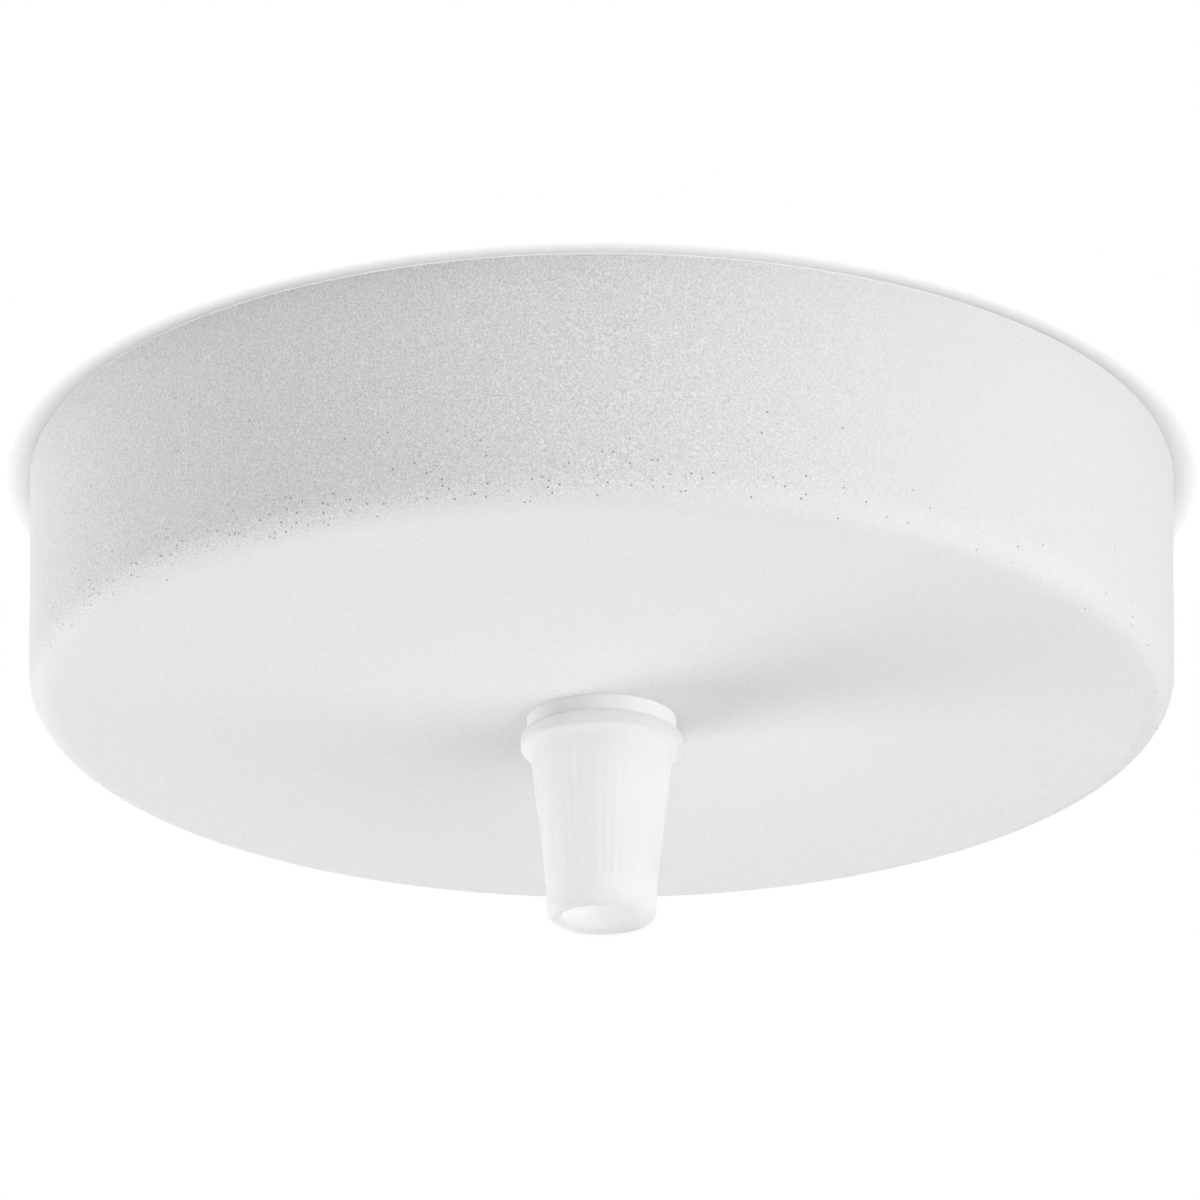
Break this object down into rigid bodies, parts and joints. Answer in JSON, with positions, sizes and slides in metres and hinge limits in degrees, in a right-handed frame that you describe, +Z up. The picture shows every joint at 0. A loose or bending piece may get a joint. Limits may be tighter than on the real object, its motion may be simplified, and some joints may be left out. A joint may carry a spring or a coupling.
{
  "type": "ceiling rose with cord grip",
  "caption": "Round white ceiling rose: a shallow metal cup on a crossbar and hollow nipple, closed from below by a fluted conical cord grip that clamps a pendant flex.",
  "frame": {"origin": "centre of the ceiling plane, midway between the crossbar's two slots", "axes": "+Z up into the ceiling along the nipple, +X along the crossbar towards the terminal block"},
  "size_m": [0.12, 0.12, 0.0473],
  "materials": {
    "powder_coat": "matte",
    "grip_nylon": "satin",
    "zinc_steel": "satin",
    "brass": "satin",
    "block_nylon": "satin",
    "bush_plastic": "satin"
  },
  "bodies": {
    "mounting": {"crossbar": "zinc_steel", "threaded_nipple": "zinc_steel", "upper_nut": "zinc_steel", "lower_nut": "zinc_steel", "toothed_washer": "zinc_steel", "earth_clamp": "zinc_steel", "earth_lock_washer": "zinc_steel", "earth_screw": "zinc_steel", "block_screws": "zinc_steel", "edge_bush": "bush_plastic", "terminal_block": "block_nylon", "terminal_tube_1": "brass", "terminal_tube_2": "brass", "terminal_tube_3": "brass", "terminal_screws": "zinc_steel"},
    "canopy": {"canopy": "powder_coat"},
    "grip_base": {"grip_base": "grip_nylon"},
    "grip_collet": {"grip_collet": "grip_nylon"},
    "grip_cap": {"grip_cap": "grip_nylon"}
  },
  "joints": [
    {"name": "canopy_drop", "type": "slide", "parent": "mounting", "child": "canopy", "axis": [0, 0, -1], "range_m": [0, 0.007]},
    {"name": "base_turn", "type": "hinge", "parent": "canopy", "child": "grip_base", "pos_m": [0, 0, -0.0255], "axis": [0, 0, -1], "range_deg": [0, 2520]},
    {"name": "collet_travel", "type": "slide", "parent": "grip_base", "child": "grip_collet", "axis": [0, 0, -1], "range_m": [0, 0.005]},
    {"name": "cap_turn", "type": "hinge", "parent": "grip_collet", "child": "grip_cap", "pos_m": [0, 0, -0.0375], "axis": [0, 0, -1], "range_deg": [0, 1440]}
  ],
  "couplings": [
    {"joint": "base_turn", "follows": "canopy_drop", "rad_per_m": 6283.2},
    {"joint": "cap_turn", "follows": "collet_travel", "rad_per_m": 5026.5}
  ]
}
